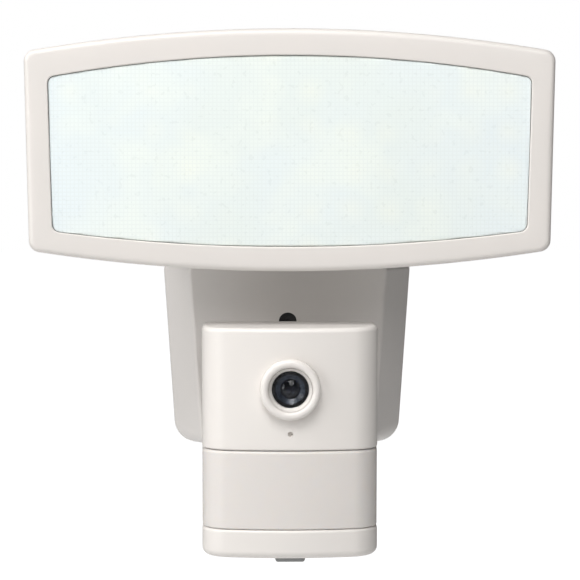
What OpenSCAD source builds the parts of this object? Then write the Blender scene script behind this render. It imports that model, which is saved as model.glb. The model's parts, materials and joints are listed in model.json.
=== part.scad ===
// Wall-mounted floodlight with a security camera.
// A wide crowned LED head tilts on a neck above a wedge-sided base, and a camera unit
// with a motion sensor pans and tilts on a knuckle in front of the base.
// Millimetres. X is across, -Y is out from the wall, +Z is up, and the origin is the
// centre of the wall plate's back face.

/* [Light head] */
// Width of the head between its top corners
head_w = 268; // [260:1:276]
// How much narrower the head is between its bottom corners
head_taper = 4; // [0:1:10]
// Height of the top corners above the origin
head_top_z = 163; // [160:0.5:168]
// Rise of the top edge from its corners to its middle
head_top_crown = 11.5; // [6:0.5:14]
// Height of the bottom corners above the origin
head_bottom_z = 62.5; // [60:0.5:66]
// Drop of the bottom edge from its corners to its middle
head_bottom_crown = 10.5; // [6:0.5:11]
// Radius of the head's outer corners
head_corner_r = 6; // [4:0.5:8]
// Width of the bezel at the sides
rim_side = 12; // [11:0.5:13]
// Width of the bezel at the top
rim_top = 13; // [12:0.5:15]
// Width of the bezel at the bottom
rim_bottom = 12.5; // [12:0.5:14]
// Number of cooling fins on each side of the hinge bracket
fins_each_side = 9; // [6:1:9]
// Columns of light emitters
led_columns = 12; // [8:1:12]
// Rows of light emitters
led_rows = 4; // [3:1:4]

/* [Base] */
// Width of the base at its top
base_w = 133.5; // [128:0.5:136]
// Width of the base at its bottom
base_bottom_w = 122.5; // [114:0.5:124]
// Top of the base above the origin
base_top_z = 50.5; // [44:0.5:51]
// Bottom of the base below the origin
base_bottom_z = -47.5; // [-52:0.5:-46]
// Depth of the base from the wall to its front panel
base_d = 50; // [48:1:51]
// Wall thickness of the base and neck mouldings
wall = 2.5; // [2:0.1:3]

/* [Camera unit] */
// Width of the camera unit
cam_w = 90; // [86:1:92]
// Top of the camera unit above the origin
cam_top_z = 23.5; // [21:0.5:24]
// Seam between the camera shell and the motion sensor's window
seam_z = -38.8; // [-42:0.1:-36]
// Seam between the motion sensor's window and the bottom cap
cap_z = -79.5; // [-82:0.5:-78]
// Bottom of the camera unit, without its service cover
cam_bottom_z = -94.5; // [-96:0.5:-93]
// Radius of the camera unit's front corners, seen from above
cam_corner_r = 15.5; // [12:0.5:18]
// Height of the camera's optical axis above the origin
optic_z = -7.5; // [-8:0.5:-5]
// Outer radius of the ring around the lens
ring_r = 15.4; // [14:0.1:16]
// Radius of the clear lens window
glass_r = 9.4; // [9:0.1:10]

/* [Joints] */
// Distance of the head's tilt axis from the wall
head_axis_d = 50; // [49:0.5:52]
// Height of the head's tilt axis above the origin
head_axis_z = 87; // [86:0.5:90]
// Distance of the camera's pan axis from the wall
pan_axis_d = 64; // [63:0.5:65]
// Distance of the camera's tilt axis from the wall
tilt_axis_d = 85; // [84:0.5:86]
// Height of the camera's tilt axis above the origin
cam_axis_z = -20; // [-21:0.5:-19]
// Running clearance between a pin and its moving bore
running = 0.05; // [0.02:0.01:0.08]

/* [Wall mount] */
// Distance between the wall screws
screw_pitch = 83.5; // [80:0.5:86]
// Radius of the wall screws' slots
slot_r = 2.5; // [2:0.1:3]
// Length of the wall screws' slots
slot_length = 12; // [8:1:14]
// Radius of the supply cable's hole in its grommet
cable_r = 5; // [4:0.5:6]

/* [Hidden] */

$fn = 48;
gap = 0.1;            // assembly clearance between neighbouring pieces
eps = 0.5;            // overrun of a cutting tool past a face
press = 0.02;         // clearance of a pin or bolt that sits tight in its bore

// Depths of the head's layers, as Y
head_front = -118;
bezel_back = -103;
bezel_wall = 2.5;
lens_front = head_front + bezel_wall;
lens_t = 2.8;
pane_front = head_front + 0.9; // face of the lens inside the bezel's opening
seal_t = 1.4;
housing_front = bezel_back + gap;
flange_t = 2;
floor_front = -94.8;
floor_back = -92;
boss_back = -89.5;     // back of the raised pad under the hinge bracket
fin_back = -77;
board_t = 1.6;
pad_t = 0.5;
led_t = 1.3;
step_in = 9;          // how far the housing stands in from the bezel's edge

// Hinge of the head
hinge_half = 12;      // half the neck's width
ear_t = 5.6;
ear_gap = 0.4;
bolt_r = 4;
neck_r = 11;

// Base
shoulder = -24;       // where the base's side bevels start, as Y
panel_top_w = 105;
panel_bottom_w = 93;
panel_bottom_z = base_bottom_z + 2;
gasket_t = 2;
cover_front = -6;
cover_back = -3;
plate_t = 1.6;
plate_w = 104;
plate_h = 62;
fixing_z = 20.5;
fixing_screw_clear = 2.8; // radius of the fixing screw's clearance holes
neck_screw_x = 17;
neck_mid_y = -35;
neck_flange_t = 3;
fixing_hole_r = 4.8;
cable_z = -14;

// Camera unit
cam_front = -122;
cam_back = -80;
cam_split = -98;
cam_wall = 2.2;
cam_bulge = 3;        // how far the front stands out between its corners
cam_back_r = 8;
ring_front = -126.6;
ring_seat = -120.9;    // floor of the ring's recess in the front shell
pocket_half = 5.3;
tongue_half = 5;
pin_r = 2.5;
pan_pin_r = 3;
knuckle_h = 16.6;
bracket_ear_t = 4;
fork_plate_t = 3;
lug_t = 4.2;

mic_z = -30.3;
pir_z = -60;          // height of the motion sensor and the speaker
rear_head_y = cam_back - 1.2; // seat of the rear screws' heads
cap_screw_x = 34;
cap_screw_y = -100;

// Service port in the bottom cap
port_y = -108.6;
card_w = 11;
card_x = -1.7;
button_x = 7.1;
button_r = 1.2;
well_floor_z = -90;
cover_hinge_y = -100.5;

// ---------- shared outlines and helpers ----------

// Points of a crowned edge from left to right: a circular-looking parabola
function crowned(w, z, rise, n = 28) =
    [for (i = [0:n]) let (t = 2 * i / n - 1) [t * w / 2, z + rise * (1 - t * t)]];

function reversed(list) = [for (i = [len(list) - 1:-1:0]) list[i]];

// A panel with crowned top and bottom edges and leaning sides, in the X-Z plane
module crowned_panel(top_w, bottom_w, top_z, top_rise, bottom_z, bottom_drop, r) {
    offset(r) offset(delta = -r)
        polygon(concat(
            crowned(top_w, top_z, top_rise),
            reversed(crowned(bottom_w, bottom_z, -bottom_drop))));
}

// The head's outline, moved in by inset
module head_outline(inset = 0) {
    offset(delta = -inset)
        crowned_panel(head_w, head_w - head_taper, head_top_z, head_top_crown,
            head_bottom_z, head_bottom_crown, head_corner_r);
}

// The opening in the bezel, moved out by margin
module window_outline(margin = 0) {
    offset(delta = margin)
        crowned_panel(head_w - 2 * rim_side, head_w - head_taper - 2 * rim_side,
            head_top_z - rim_top, head_top_crown - 0.5,
            head_bottom_z + rim_bottom - 2.6, head_bottom_crown - 2.6, 4);
}

// Extrudes an X-Z outline from y0, nearer the viewer, back to y1
module slab(y0, y1) {
    translate([0, y1, 0]) rotate([90, 0, 0]) linear_extrude(y1 - y0) children();
}

// A round bar along Y, from y0 back to y1
module rod_y(r, y0, y1, x = 0, z = 0) {
    translate([x, y1, z]) rotate([90, 0, 0]) cylinder(h = y1 - y0, r = r);
}

// A round bar along X, from x0 to x1
module rod_x(r, x0, x1, y = 0, z = 0) {
    translate([x0, y, z]) rotate([0, 90, 0]) cylinder(h = x1 - x0, r = r);
}

// A box given by its lowest and highest corners
module block(lo, hi) {
    translate(lo) cube(hi - lo);
}

// A trapezoid in the X-Z plane with its own radius at the top and bottom corners
module wedge_outline(top_w, bottom_w, top_z, bottom_z, top_r, bottom_r, inset = 0) {
    offset(delta = -inset)
        hull() {
            for (s = [-1, 1]) {
                translate([s * (top_w / 2 - top_r), top_z - top_r])
                    circle(top_r, $fn = 32);
                translate([s * (bottom_w / 2 - bottom_r), bottom_z + bottom_r])
                    circle(bottom_r, $fn = 32);
            }
        }
}

module base_outline(inset = 0) {
    wedge_outline(base_w, base_bottom_w, base_top_z, base_bottom_z, 4, 12, inset);
}

module panel_outline(inset = 0) {
    wedge_outline(panel_top_w, panel_bottom_w, base_top_z, panel_bottom_z, 3, 7, inset);
}

// The camera unit seen from above, moved in by inset
module cam_plan(inset = 0) {
    corner_x = cam_w / 2 - cam_corner_r;
    offset(delta = -inset)
        hull() {
            for (s = [-1, 1]) {
                translate([s * corner_x, cam_front + cam_bulge + cam_corner_r])
                    circle(cam_corner_r, $fn = 64);
                translate([s * (cam_w / 2 - cam_back_r), cam_back - cam_back_r])
                    circle(cam_back_r, $fn = 32);
            }
            polygon([for (i = [-8:8])
                let (t = i / 8) [t * corner_x, cam_front + cam_bulge * t * t]]);
        }
}

module cam_slice(inset, z, h = 0.05) {
    translate([0, 0, z]) linear_extrude(h) cam_plan(inset);
}

// The camera unit's outer form between two heights, with rounded top or bottom edges
module cam_form(z0, z1, round_top = 0, round_bottom = 0) {
    hull() {
        cam_slice(0, z0 + round_bottom, z1 - z0 - round_top - round_bottom);
        for (a = [30:30:90]) {
            if (round_top > 0)
                cam_slice(round_top * (1 - cos(a)), z1 - round_top * (1 - sin(a)) - 0.05);
            if (round_bottom > 0)
                cam_slice(round_bottom * (1 - cos(a)), z0 + round_bottom * (1 - sin(a)));
        }
    }
}

// Everything in front of the camera unit's split line
module front_half() {
    block([-cam_w, cam_front - 10, -120], [cam_w, cam_split, 60]);
}

module rear_half() {
    block([-cam_w, cam_split + gap, -120], [cam_w, cam_back + 10, 60]);
}

// A pan-head screw along Y with its head at y_head, pointing to -Y
module screw_y(x, z, y_head, length, r, head_r, head_h) {
    difference() {
        union() {
            rod_y(head_r, y_head, y_head + head_h, x, z);
            rod_y(r, y_head - length, y_head, x, z);
        }
        for (a = [0, 90])
            translate([x, y_head + head_h, z]) rotate([0, a, 0])
                cube([head_r * 1.3, 1.4, head_r * 0.28], center = true);
    }
}

function corners(x, z0, z1) = [[-x, z0], [x, z0], [-x, z1], [x, z1]];

// Heights of the head's top and bottom edges at x
function edge_top(x) = head_top_z + head_top_crown * (1 - pow(2 * x / head_w, 2));
function edge_bottom(x) =
    head_bottom_z - head_bottom_crown * (1 - pow(2 * x / (head_w - head_taper), 2));

rim_screws = concat(
    [for (x = [-80, 0, 80]) [x, edge_top(x) - 5.4]],
    [for (x = [-80, 0, 80]) [x, edge_bottom(x) + 5.4]],
    [for (s = [-1, 1]) [s * (head_w / 2 - 7.3), (head_top_z + head_bottom_z) / 2 + 8]]);

// ---------- wall plate and base ----------

module wall_plate() {
    color("lightgray") difference() {
        union() {
            slab(-plate_t, 0)
                wedge_outline(plate_w, plate_w, plate_h / 2, -plate_h / 2, 6, 6);
            rod_y(5, cover_back + 2 * gap - 0.1, -plate_t + gap, 0, fixing_z);
        }
        for (s = [-1, 1]) {
            slot_half = slot_length / 2 - slot_r;
            for (t = [-1, 1])
                rod_y(slot_r, -plate_t - eps, eps, s * screw_pitch / 2 + t * slot_half, 0);
            block([s * screw_pitch / 2 - slot_half, -plate_t - eps, -slot_r],
                [s * screw_pitch / 2 + slot_half, eps, slot_r]);
        }
        rod_y(10, -plate_t - eps, eps, 0, cable_z);
        rod_y(2.5 + gap, -5, eps, 0, fixing_z);
        for (p = corners(30, -22, 22)) rod_y(2.2, -plate_t - eps, eps, p[0], p[1]);
    }
}

module wall_gasket() {
    color("dimgray") slab(-gasket_t, 0) difference() {
        base_outline(0.8);
        base_outline(6.8);
    }
}

base_bosses = corners(42, -35, 35);

module base_back_cover() {
    color("whitesmoke") difference() {
        slab(cover_front, cover_back) base_outline(wall + gap);
        rod_y(8.1, cover_front - eps, cover_back + eps, 0, cable_z);
        rod_y(fixing_screw_clear, cover_front - eps, cover_back + eps, 0, fixing_z);
        for (p = base_bosses) rod_y(1.9, cover_front - eps, cover_back + eps, p[0], p[1]);
    }
}

module base_form(inset, back, front_wall) {
    hull() {
        slab(shoulder, back) base_outline(inset);
        slab(-base_d + front_wall, -base_d + front_wall + 0.5) panel_outline(inset);
    }
}

module base_shell() {
    tube_back = -34;
    color("whitesmoke") difference() {
        union() {
            difference() {
                base_form(0, -gasket_t, 0);
                base_form(wall, eps, wall);
            }
            rod_y(fixing_hole_r + 2, -base_d + 1, tube_back, 0, fixing_z);
            for (p = base_bosses)
                rod_y(4, -base_d + wall - 0.5, cover_front - gap, p[0], p[1]);
            for (s = [-1, 1])
                translate([s * neck_screw_x, neck_mid_y, base_top_z - 10]) cylinder(h = 9, r = 4);
        }
        rod_y(fixing_hole_r, -base_d - eps, tube_back - 2.4, 0, fixing_z);
        rod_y(fixing_screw_clear, tube_back - 3, tube_back + eps, 0, fixing_z);
        for (p = base_bosses) rod_y(1.45, -30, cover_front + eps, p[0], p[1]);
        for (p = fork_bolts)
            rod_y(1.45, -base_d - eps, -base_d + wall + eps, p[0], p[1]);
        for (s = [-1, 1])
            translate([s * neck_screw_x, neck_mid_y, base_top_z - 9])
                cylinder(h = 10, r = 1.45);
        translate([0, neck_mid_y, base_top_z - wall - eps])
            cylinder(h = wall + 2 * eps, r = 5);
    }
}

module base_screws() {
    color("silver") for (p = base_bosses)
        screw_y(p[0], p[1], cover_back + gap / 2, 14, 1.4, 2.8, 1.6);
}

module fixing_screw() {
    head_seat = -36.5;
    color("silver") difference() {
        union() {
            rod_y(4.2, head_seat - 3, head_seat, 0, fixing_z);
            rod_y(2.5, head_seat - 1, -0.4, 0, fixing_z);
        }
        for (a = [0, 90])
            translate([0, head_seat - 3, fixing_z]) rotate([0, a, 0])
                cube([5, 2, 1], center = true);
    }
}

module fixing_screw_plug() {
    color("black") difference() {
        rod_y(fixing_hole_r - gap, -base_d + 2, -41, 0, fixing_z);
        rod_y(1.6, -base_d + 1, -base_d + 3.2, 0, fixing_z);
    }
}

module cable_grommet() {
    color("black") translate([0, 0, cable_z]) rotate([90, 0, 0])
        rotate_extrude() difference() {
            translate([cable_r, 1.9]) square([9.8 - cable_r, 7.1]);
            translate([8, -cover_back - gap]) square([4, cover_back - cover_front + 2 * gap]);
        }
}

terminal_x = -32;
terminal_z = -33;

module terminal_block() {
    color("beige") difference() {
        block([-37, -22, -40], [-11, -6.2, -26]);
        for (i = [0:2]) {
            x = terminal_x + 8 * i;
            rod_y(2.4, -22.5, -13, x, terminal_z);
            translate([x, -17, -41]) cylinder(h = 8, r = 1.8);
        }
    }
}

// Each wire leaves a terminal, turns round and ends in the front of the driver board
module supply_wires() {
    bend_r = 8.5;
    bend_y = -31;
    wire_r = 1.1;
    colors = ["black", "white", "green"];
    for (i = [0:2]) color(colors[i]) translate([terminal_x + 8 * i, 0, 0]) {
        rod_y(wire_r, bend_y, -13, 0, terminal_z);
        translate([0, bend_y, terminal_z + bend_r]) rotate([90, 0, 90])
            rotate_extrude(angle = 180, start = 90) translate([bend_r, 0]) circle(wire_r);
        rod_y(wire_r, bend_y, -27.6, 0, terminal_z + 2 * bend_r);
    }
}

module driver_board() {
    color("darkgreen") difference() {
        block([-44, -27.6, -20], [44, -26, 10]);
        for (p = corners(40, -16, 6)) rod_y(1.6, -28, -25, p[0], p[1]);
    }
}

module driver_transformer() {
    color("gold") union() {
        block([15, -43, -14], [34, -37, 4]);
        block([18, -36.9, -11], [31, -27.7, 1]);
        block([16, -37.1, -12], [33, -36, 2]);
    }
}

module driver_capacitors() {
    color("midnightblue") {
        rod_y(6, -41, -27.7, -10, -4);
        rod_y(4.5, -42, -27.7, -26, -10);
        rod_y(4.5, -42, -27.7, -36, 2);
        rod_y(3, -38, -27.7, 38.5, -5);
    }
}

module neck() {
    flange_y0 = -47;
    flange_y1 = -23;
    color("whitesmoke") difference() {
        union() {
            block([-23, flange_y0, base_top_z], [23, flange_y1, base_top_z + neck_flange_t]);
            hull() {
                block([-hinge_half, flange_y0 + 1, base_top_z + 2],
                    [hinge_half, flange_y1 - 1, base_top_z + 4]);
                rod_x(neck_r, -hinge_half, hinge_half, -head_axis_d, head_axis_z);
            }
        }
        rod_x(bolt_r + running, -hinge_half - eps, hinge_half + eps,
            -head_axis_d, head_axis_z);
        for (s = [-1, 1]) translate([s * neck_screw_x, neck_mid_y, base_top_z - eps])
            cylinder(h = neck_flange_t + 2 * eps, r = 1.7);
        translate([0, neck_mid_y, base_top_z - eps]) cylinder(h = 14, r = 4);
    }
}

module neck_screws() {
    color("silver") for (s = [-1, 1])
        translate([s * neck_screw_x, neck_mid_y, base_top_z + neck_flange_t]) {
        difference() {
            union() {
                cylinder(h = 1.8, r = 3);
                translate([0, 0, -9]) cylinder(h = 9.1, r = 1.4);
            }
            translate([0, 0, 1.8]) {
                cube([4, 0.8, 1.4], center = true);
                cube([0.8, 4, 1.4], center = true);
            }
        }
    }
}

fork_bolts = corners(11, -36, -4);
fork_z = knuckle_h / 2 + 0.2; // from the axis to the inner face of each fork ear

module camera_bracket() {
    color("whitesmoke") difference() {
        union() {
            block([-15, -base_d - fork_plate_t, -42], [15, -base_d, 2]);
            for (s = [-1, 1]) {
                z = cam_axis_z + s * (fork_z + bracket_ear_t / 2);
                hull() {
                    translate([0, -base_d - 2, z])
                        cube([24, 2, bracket_ear_t], center = true);
                    translate([0, -pan_axis_d, z - bracket_ear_t / 2])
                        cylinder(h = bracket_ear_t, r = 7.5);
                }
            }
        }
        translate([0, -pan_axis_d, cam_axis_z - 20])
            cylinder(h = 40, r = pan_pin_r + press);
        for (p = fork_bolts)
            rod_y(1.7, -base_d - fork_plate_t - eps, -base_d + eps, p[0], p[1]);
    }
}

module camera_bracket_screws() {
    fork_face = -base_d - fork_plate_t;
    color("silver") for (p = fork_bolts) difference() {
        union() {
            rod_y(2.6, fork_face - 1.6, fork_face, p[0], p[1]);
            rod_y(1.4, fork_face - 0.1, -base_d + 8, p[0], p[1]);
        }
        for (a = [0, 90]) translate([p[0], fork_face - 1.6, p[1]]) rotate([0, a, 0])
            cube([3.4, 1.4, 0.7], center = true);
    }
}

module pan_pin() {
    ear_out = fork_z + bracket_ear_t;
    color("silver") translate([0, -pan_axis_d, cam_axis_z]) {
        translate([0, 0, -ear_out - 1.6]) cylinder(h = 2 * ear_out + 1.6, r = pan_pin_r);
        translate([0, 0, ear_out]) cylinder(h = 2, r = 5);
    }
}

// ---------- light head ----------

module head_bezel() {
    color("linen") difference() {
        union() {
            difference() {
                slab(head_front, bezel_back) head_outline();
                slab(lens_front, bezel_back + eps) head_outline(bezel_wall);
            }
            intersection() {
                slab(lens_front - 0.5, bezel_back - gap) head_outline(0.5);
                for (p = rim_screws) rod_y(2.8, lens_front - 0.5, bezel_back - gap, p[0], p[1]);
            }
        }
        slab(head_front - eps, lens_front + eps) window_outline();
        for (p = rim_screws) rod_y(1.3, lens_front + 1.5, bezel_back + eps, p[0], p[1]);
    }
}

module head_lens() {
    color("honeydew") union() {
        slab(lens_front + 0.02, lens_front + lens_t) window_outline(2.2);
        slab(pane_front, lens_front + 0.1) window_outline(-0.25);
    }
}

module head_seal() {
    y = lens_front + lens_t;
    color("dimgray") slab(y, y + seal_t) difference() {
        window_outline(2.2);
        window_outline(-0.6);
    }
}

led_pitch_x = (head_w - 2 * rim_side - 22) / (led_columns - 1);
led_pitch_z = 20;
board_front = floor_front - pad_t - board_t;
led_half = 1.9;       // half the width of one light emitter
led_mid_z = (head_top_z + head_bottom_z) / 2 + 0.5;
led_spots = [for (i = [0:led_columns - 1], j = [0:led_rows - 1])
    [(i - (led_columns - 1) / 2) * led_pitch_x,
     led_mid_z + (j - (led_rows - 1) / 2) * led_pitch_z]];

module head_reflector() {
    color("white") {
        slab(board_front - 0.9, board_front - 0.1) difference() {
            head_outline(step_in + 4.2);
            for (p = led_spots) translate(p)
                square(2 * led_half + 1.6, center = true);
        }
        slab(lens_front + lens_t + seal_t + 0.2, board_front - 0.8) difference() {
            head_outline(step_in + 4.2);
            head_outline(step_in + 5.2);
        }
    }
}

module led_emitters() {
    color("yellow") for (p = led_spots)
        block([p[0] - led_half, board_front - led_t, p[1] - led_half],
            [p[0] + led_half, board_front, p[1] + led_half]);
}

module led_board() {
    color("white") slab(board_front, board_front + board_t) head_outline(step_in + 3.4);
}

module thermal_pad() {
    color("lightblue") slab(floor_front - pad_t, floor_front)
        difference() {
            head_outline(step_in + 8);
            for (s = [-1, 1]) translate([s * 124, 0]) square([4, 400], center = true);
        }
}

module head_housing() {
    pitch = 10.6;
    fin_half = 0.9;
    fin_end = step_in + 4;
    color("gainsboro") difference() {
        union() {
            slab(housing_front, housing_front + flange_t) head_outline(1.2);
            slab(housing_front + 1, floor_back) head_outline(step_in);
            block([-22, floor_back - 0.5, head_axis_z - 16],
                [22, boss_back, head_axis_z + 16]);
            for (s = [-1, 1], i = [0:fins_each_side - 1]) {
                x = s * (28 + pitch * i);
                block([x - fin_half, floor_back - 0.5, edge_bottom(x) + fin_end],
                    [x + fin_half, fin_back, edge_top(x) - fin_end]);
            }
            for (x = [-16.5, -5.5, 5.5, 16.5]) {
                block([x - fin_half, floor_back - 0.5, head_axis_z + 19],
                    [x + fin_half, fin_back, edge_top(x) - fin_end]);
            }
        }
        slab(housing_front - eps, floor_front) head_outline(step_in + 2.6);
        for (p = rim_screws)
            rod_y(1.6, housing_front - eps, housing_front + flange_t + eps, p[0], p[1]);
        for (p = bracket_bolts) rod_y(1.45, boss_back - 3.4, boss_back + eps, p[0], p[1]);
    }
}

module head_screws() {
    color("silver") for (p = rim_screws)
        screw_y(p[0], p[1], housing_front + flange_t, 8, 1.25, 2.5, 1.6);
}

bracket_bolts = corners(7.5, head_axis_z - 9, head_axis_z + 9);

module hinge_bracket() {
    plate_y = boss_back + 3;
    color("gainsboro") difference() {
        union() {
            block([-20, boss_back, head_axis_z - 14],
                [20, plate_y, head_axis_z + 14]);
            for (s = [-1, 1]) {
                x0 = s > 0 ? hinge_half + ear_gap : -hinge_half - ear_gap - ear_t;
                hull() {
                    block([x0, plate_y - 1, head_axis_z - 13],
                        [x0 + ear_t, plate_y, head_axis_z + 13]);
                    rod_x(10, x0, x0 + ear_t, -head_axis_d, head_axis_z);
                }
            }
        }
        rod_x(bolt_r + press, -30, 30, -head_axis_d, head_axis_z);
        for (p = bracket_bolts) rod_y(1.7, boss_back - eps, plate_y + eps, p[0], p[1]);
    }
}

module hinge_bracket_screws() {
    color("silver") for (p = bracket_bolts)
        screw_y(p[0], p[1], boss_back + 3, 6, 1.4, 2.5, 1.6);
}

washer_x = hinge_half + ear_gap + ear_t;
washer_t = 1.2;
hex_r = 7.5;          // radius of the tilt bolt's head and nut across their corners

module tilt_bolt() {
    color("silver") {
        rod_x(bolt_r, -washer_x - washer_t, washer_x + washer_t + 6,
            -head_axis_d, head_axis_z);
        translate([-washer_x - washer_t - 4.5, -head_axis_d, head_axis_z])
            rotate([0, 90, 0]) cylinder(h = 4.5, r = hex_r, $fn = 6);
    }
}

module tilt_nut() {
    color("silver") difference() {
        translate([washer_x + washer_t, -head_axis_d, head_axis_z])
            rotate([0, 90, 0]) cylinder(h = 5, r = hex_r, $fn = 6);
        rod_x(bolt_r + press, washer_x, washer_x + 10, -head_axis_d, head_axis_z);
    }
}

module friction_washers() {
    color("black") for (s = [-1, 1]) difference() {
        x0 = s > 0 ? washer_x : -washer_x - washer_t;
        rod_x(8.5, x0, x0 + washer_t, -head_axis_d, head_axis_z);
        rod_x(bolt_r + press, x0 - eps, x0 + washer_t + eps, -head_axis_d, head_axis_z);
    }
}

// ---------- camera knuckle ----------

module swivel_knuckle() {
    color("whitesmoke") difference() {
        union() {
            translate([0, -pan_axis_d, cam_axis_z - knuckle_h / 2])
                cylinder(h = knuckle_h, r = 7.5);
            block([-tongue_half, -tilt_axis_d, cam_axis_z - 6.5],
                [tongue_half, -pan_axis_d, cam_axis_z + 6.5]);
            rod_x(6.5, -tongue_half, tongue_half, -tilt_axis_d, cam_axis_z);
        }
        translate([0, -pan_axis_d, cam_axis_z - 20])
            cylinder(h = 40, r = pan_pin_r + running);
        rod_x(pin_r + running, -tongue_half - eps, tongue_half + eps,
            -tilt_axis_d, cam_axis_z);
    }
}

// ---------- camera unit ----------

shell_bosses = corners(35, -32, 13);

module camera_front_shell() {
    color("linen") difference() {
        intersection() {
            union() {
                difference() {
                    cam_form(seam_z, cam_top_z, round_top = 3);
                    translate([0, 0, seam_z - 1])
                        linear_extrude(cam_top_z - cam_wall - seam_z + 1)
                            cam_plan(cam_wall);
                }
                for (p = shell_bosses) rod_y(3.2, -116, cam_split, p[0], p[1]);
            }
            front_half();
        }
        rod_y(glass_r + 1.65, cam_front - 2, cam_split, 0, optic_z);
        rod_y(ring_r + 0.05, cam_front - 2, ring_seat, 0, optic_z);
        rod_y(0.9, cam_front - 2, -118, 0, mic_z);
        for (p = shell_bosses) rod_y(1.2, -112, cam_split + eps, p[0], p[1]);
    }
}

module camera_rear_shell() {
    pocket_z = 12;
    color("linen") difference() {
        intersection() {
            union() {
                difference() {
                    cam_form(cap_z + gap, cam_top_z, round_top = 3);
                    translate([0, 0, cap_z - 1])
                        linear_extrude(cam_top_z - cam_wall - cap_z + 1)
                            cam_plan(cam_wall);
                }
                block([-pocket_half - lug_t, -96.4, cam_axis_z - pocket_z - cam_wall],
                    [pocket_half + lug_t, cam_back - 1, cam_axis_z + pocket_z + cam_wall]);
                for (p = shell_bosses) rod_y(3.4, cam_split + gap, cam_back - 1, p[0], p[1]);
            }
            rear_half();
        }
        block([-pocket_half, -94.2, cam_axis_z - pocket_z],
            [pocket_half, cam_back + 5, cam_axis_z + pocket_z]);
        rod_x(pin_r + press, -20, 20, -tilt_axis_d, cam_axis_z);
        for (p = shell_bosses) {
            rod_y(1.5, -99, cam_back + eps, p[0], p[1]);
            rod_y(2.9, rear_head_y, cam_back + eps, p[0], p[1]);
        }
        for (a = [0:60:300]) for (r = [4, 8])
            rod_y(0.9, cam_back - cam_wall - eps, cam_back + eps,
                r * cos(a), pir_z + r * sin(a));
    }
}

module pir_lens() {
    color("white") intersection() {
        difference() {
            translate([0, 0, cap_z + 0.1]) linear_extrude(seam_z - cap_z - 0.2)
                cam_plan(0.4);
            translate([0, 0, cap_z - 1]) linear_extrude(seam_z - cap_z + 2)
                cam_plan(1.8);
        }
        front_half();
    }
}

module bottom_cap() {
    floor_z = cam_bottom_z + cam_wall;
    color("linen") difference() {
        union() {
            difference() {
                cam_form(cam_bottom_z, cap_z, round_bottom = 4);
                translate([0, 0, floor_z]) linear_extrude(20) cam_plan(cam_wall);
            }
            block([-10.8, -117.4, cam_bottom_z + 1], [10.8, -99.9, well_floor_z + 1.4]);
        }
        block([-8.7, -115.6, cam_bottom_z - 1], [8.7, -101.7, well_floor_z]);
        block([-10.5, -116.7, cam_bottom_z - 1], [10.5, -100.2, cam_bottom_z + 1.5]);
        block([card_x - card_w / 2 - 0.2, port_y - 0.7, well_floor_z - 1],
            [card_x + card_w / 2 + 0.2, port_y + 0.7, well_floor_z + 3]);
        translate([button_x, port_y, well_floor_z - 1])
            cylinder(h = 4, r = button_r + 0.08);
        for (s = [-1, 1]) translate([s * cap_screw_x, cap_screw_y, cam_bottom_z - 1]) {
            cylinder(h = 8, r = 1.4);
            cylinder(h = 2.4, r = 2.9);
        }
    }
}

// Turns an R-Y profile around the optical axis: its x is the radius, its y is depth
module around_optics() {
    translate([0, 0, optic_z]) rotate([90, 0, 0])
        rotate_extrude($fn = 96) children();
}

module lens_ring() {
    crest = 2.1;
    inner = glass_r + 1.7;
    color("linen") around_optics() union() {
        translate([inner, -ring_seat]) square([ring_r - inner, ring_seat - ring_front - crest]);
        translate([ring_r - crest, -ring_front - crest]) circle(crest);
        translate([inner + 0.2, -ring_front - 2 * crest])
            square([ring_r - inner - crest - 0.2, 2 * crest - 0.3]);
    }
}

module lens_inner_ring() {
    color("white") around_optics()
        polygon([[glass_r, 123.2], [glass_r + 1.6, 125.2], [glass_r + 1.6, 119.4],
            [glass_r - 0.6, 119.4], [glass_r - 0.6, 121.3], [glass_r, 121.3]]);
}

module lens_window() {
    color("gray") rod_y(glass_r - 0.1, -122.6, -121.4, 0, optic_z);
}

module lens_barrel() {
    color("black") around_optics() difference() {
        union() {
            translate([0, 118.2]) square([glass_r - 0.7, 3]);
            translate([0, 106.5]) square([6, 12]);
        }
        translate([-1, 117]) square([6.6, 6]);
        translate([-1, 105]) square([4, 14]);
    }
}

module lens_element() {
    color("midnightblue") around_optics() intersection() {
        translate([0, 117.1]) square([5.5, 3.4]);
        translate([0, 111.2]) circle(9.2, $fn = 96);
    }
}

module lens_mount() {
    color("black") difference() {
        union() {
            block([-8, -112, optic_z - 8], [8, -104.6, optic_z + 8]);
            block([-12, -106.6, optic_z - 3], [12, -104.6, optic_z + 3]);
        }
        rod_y(6.05, -113, -106.4, 0, optic_z);
        block([-5, -107, optic_z - 4], [5, -104, optic_z + 4]);
    }
}

module image_sensor() {
    color("gray") block([-4, -105.8, optic_z - 3], [4, -104.6, optic_z + 3]);
}

module sensor_board() {
    color("darkgreen") block([-14, -104.6, optic_z - 12], [14, -103.4, optic_z + 12]);
}

module main_board() {
    color("darkgreen") difference() {
        block([-38, -100.2, seam_z + 3], [38, -98.6, 17]);
        for (p = shell_bosses) rod_y(3.5, -101, -98, p[0], p[1]);
    }
}

module processor_shield() {
    color("silver") block([-12, -103.2, -36], [12, -100.2, -20.5]);
}

module antenna() {
    color("beige") block([18, -101.6, 6], [28, -100.2, 16]);
}

module microphone() {
    color("black") difference() {
        rod_y(3, -119.7, -116, 0, mic_z);
        rod_y(1, -120, -118, 0, mic_z);
    }
}

module pir_sensor() {
    color("silver") {
        rod_y(4.6, -104, -99.8, 0, pir_z);
        block([-2, -104.4, -61.5], [2, -103.9, -58.5]);
    }
}

module pir_board() {
    color("darkgreen") block([-20, -99.8, -74], [20, -98.4, -42]);
}

module photocell() {
    color("tan") rod_y(2.5, -102.4, -99.8, 13, pir_z);
}

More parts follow.
